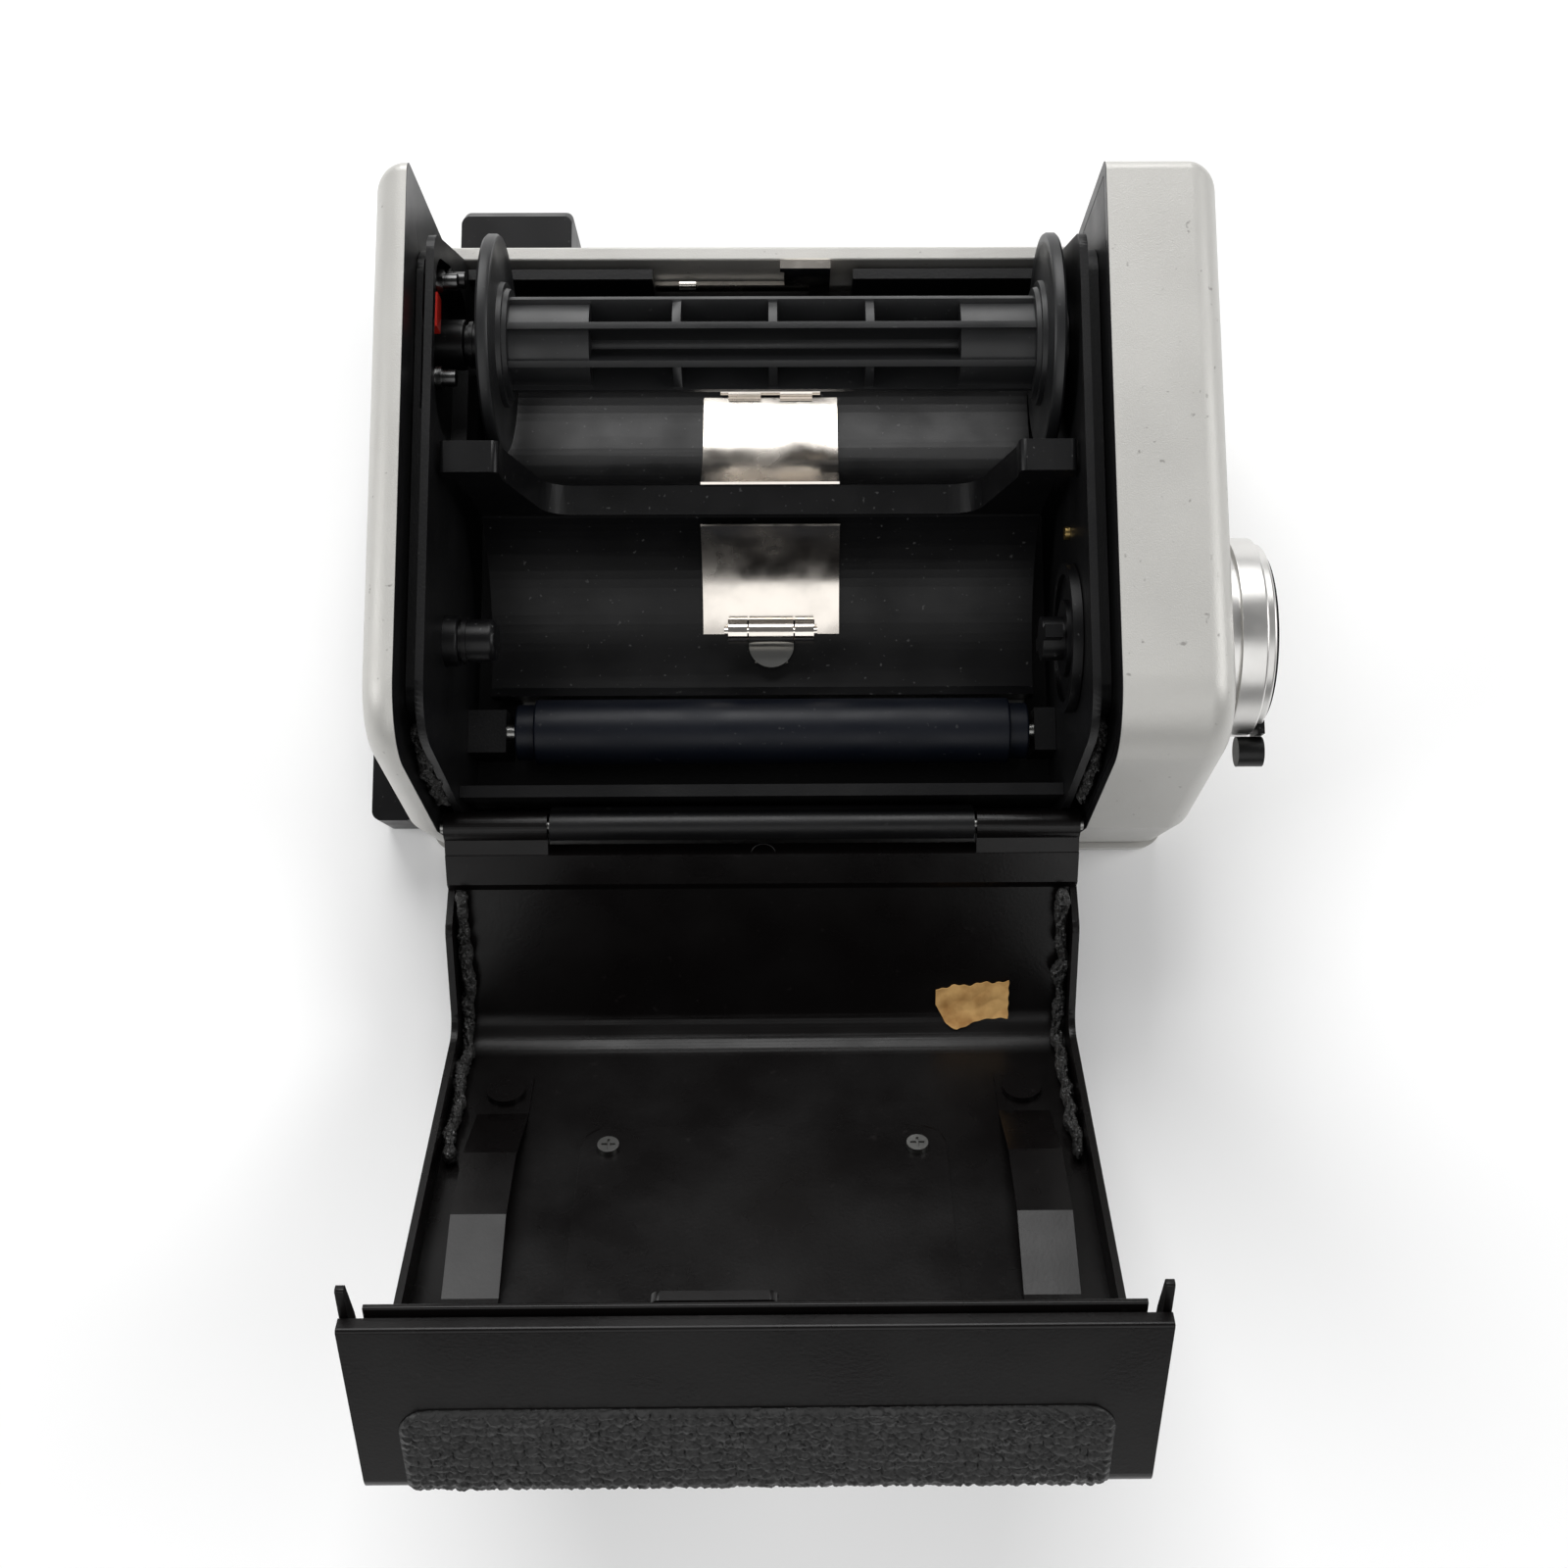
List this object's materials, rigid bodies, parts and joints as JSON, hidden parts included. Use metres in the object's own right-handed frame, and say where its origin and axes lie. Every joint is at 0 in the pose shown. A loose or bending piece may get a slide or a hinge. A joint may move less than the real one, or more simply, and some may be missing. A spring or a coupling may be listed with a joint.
{
  "type": "roll-film magazine",
  "caption": "Interchangeable roll-film magazine with hinged rear door, film insert, take-up spool, guide rollers, dark slide and winding knob.",
  "frame": {"origin": "middle of the film opening on the face that seats on the camera", "axes": "+X across the film, +Y up the magazine towards the take-up spool, +Z from the camera side to the rear door"},
  "size_m": [0.1049, 0.1448, 0.0672],
  "materials": {
    "silver_paint": "satin light grey, fine grain, worn at the edges",
    "black_paint": "semi-matte black",
    "black_plastic": "semi-matte moulded black",
    "spool_plastic": "dark grey moulded plastic, slight sheen",
    "door_paint": "satin black enamel",
    "door_leather": "pebbled black leatherette",
    "roller_blue": "blue-black satin",
    "chrome": "bright nickel, lightly brushed",
    "steel": "dull steel",
    "aluminium": "satin turned metal",
    "crank_black": "satin black",
    "brass": "plain brass",
    "foam": "perished black foam, crumbly",
    "red_plastic": "red",
    "paper": "tan masking tape"
  },
  "bodies": {
    "magazine": {"left_side_cover": "silver_paint", "right_gear_housing": "silver_paint", "top_cover": "silver_paint", "bottom_cover": "black_paint", "mount_plate": "silver_paint", "mount_plate_screws": "steel", "front_frame": "black_paint", "film_rails": "steel", "slide_guides": "black_paint", "left_liner": "black_paint", "right_liner": "black_paint", "mechanism_plate": "black_paint", "film_insert": "black_plastic", "pressure_springs": "steel", "spring_bracket": "chrome", "leaf_pins": "chrome", "spring_screw": "steel", "roller_axles": "steel", "roller_brackets": "black_paint", "gauge_posts": "chrome", "gauge_flag": "red_plastic", "brass_pin": "brass", "idler_stud": "steel", "top_rivet": "chrome", "hinge_bar": "black_paint", "hinge_pin": "steel", "body_foam": "foam"},
    "pressure": {"pressure_plate": "steel"},
    "upper_leaf": {"upper_spring_plate": "chrome"},
    "lower_leaf": {"lower_spring_plate": "chrome"},
    "low_roller": {"lower_roller": "roller_blue"},
    "high_roller": {"upper_roller": "roller_blue"},
    "takeup": {"takeup_spool": "spool_plastic", "takeup_key": "black_plastic", "takeup_gear": "brass"},
    "idler": {"idler_gear": "brass"},
    "knob": {"knob_gear": "brass", "winding_knob": "aluminium", "knob_insert": "black_plastic"},
    "crank": {"knob_crank": "crank_black"},
    "supply": {"supply_drive": "black_plastic"},
    "supply_pin": {"supply_plunger": "black_plastic"},
    "takeup_pin": {"takeup_plunger": "black_plastic"},
    "latch": {"latch_button": "black_plastic", "latch_bar": "chrome"},
    "dark_slide": {"dark_slide_blade": "black_paint", "dark_slide_handle": "black_plastic"},
    "door": {"door_shell": "door_paint", "door_leather": "door_leather", "memo_frame": "door_paint", "memo_backing": "black_plastic", "memo_screws": "door_paint", "door_spring_left": "door_paint", "door_spring_right": "door_paint", "spring_rivets": "door_paint", "catch_tab": "door_paint", "door_foam": "foam", "paper_scrap": "paper"}
  },
  "joints": [
    {"name": "door_hinge", "type": "hinge", "parent": "magazine", "child": "door", "pos_m": [0, -0.035, 0.0175], "axis": [1, 0, 0], "range_deg": [-132, 0]},
    {"name": "dark_slide_draw", "type": "slide", "parent": "magazine", "child": "dark_slide", "axis": [-1, 0, 0], "range_m": [0, 0.066]},
    {"name": "latch_slide", "type": "slide", "parent": "magazine", "child": "latch", "axis": [-1, 0, 0], "range_m": [0, 0.003]},
    {"name": "takeup_spin", "type": "hinge", "parent": "magazine", "child": "takeup", "pos_m": [0.0002, 0.0199, 0.0306], "axis": [1, 0, 0], "continuous": true},
    {"name": "idler_spin", "type": "hinge", "parent": "magazine", "child": "idler", "pos_m": [0.042, 0.0023, 0.0306], "axis": [1, 0, 0], "continuous": true},
    {"name": "knob_spin", "type": "hinge", "parent": "magazine", "child": "knob", "pos_m": [0.05, -0.0153, 0.0306], "axis": [1, 0, 0], "continuous": true},
    {"name": "crank_fold", "type": "hinge", "parent": "knob", "child": "crank", "pos_m": [0.05485, -0.0138, 0.0306], "axis": [0, 0, 1], "range_deg": [0, 110]},
    {"name": "supply_spin", "type": "hinge", "parent": "magazine", "child": "supply", "pos_m": [0.034, -0.0153, 0.0306], "axis": [1, 0, 0], "continuous": true},
    {"name": "supply_pin_press", "type": "slide", "parent": "magazine", "child": "supply_pin", "axis": [-1, 0, 0], "range_m": [0, 0.002], "stiffness_N_per_m": 300},
    {"name": "takeup_pin_press", "type": "slide", "parent": "magazine", "child": "takeup_pin", "axis": [-1, 0, 0], "range_m": [0, 0.002], "stiffness_N_per_m": 300},
    {"name": "low_roller_spin", "type": "hinge", "parent": "magazine", "child": "low_roller", "pos_m": [0, -0.023, 0.0132], "axis": [1, 0, 0], "continuous": true},
    {"name": "high_roller_spin", "type": "hinge", "parent": "magazine", "child": "high_roller", "pos_m": [0, 0.0247, 0.0132], "axis": [1, 0, 0], "continuous": true},
    {"name": "lower_leaf_flex", "type": "hinge", "parent": "magazine", "child": "lower_leaf", "pos_m": [0, -0.0109, 0.015], "axis": [1, 0, 0], "range_deg": [-2, 0], "stiffness_Nm_per_rad": 0.02},
    {"name": "upper_leaf_flex", "type": "hinge", "parent": "magazine", "child": "upper_leaf", "pos_m": [0, 0.0199, 0.0146], "axis": [-1, 0, 0], "range_deg": [-0.5, 0], "stiffness_Nm_per_rad": 0.02},
    {"name": "pressure_float", "type": "slide", "parent": "magazine", "child": "pressure", "axis": [0, 0, 1], "range_m": [0, 0.0002], "stiffness_N_per_m": 800, "deforming": ["pressure_springs"]}
  ],
  "couplings": [
    {"joint": "idler_spin", "follows": "takeup_spin", "ratio": -0.92308},
    {"joint": "knob_spin", "follows": "takeup_spin", "ratio": 1}
  ]
}
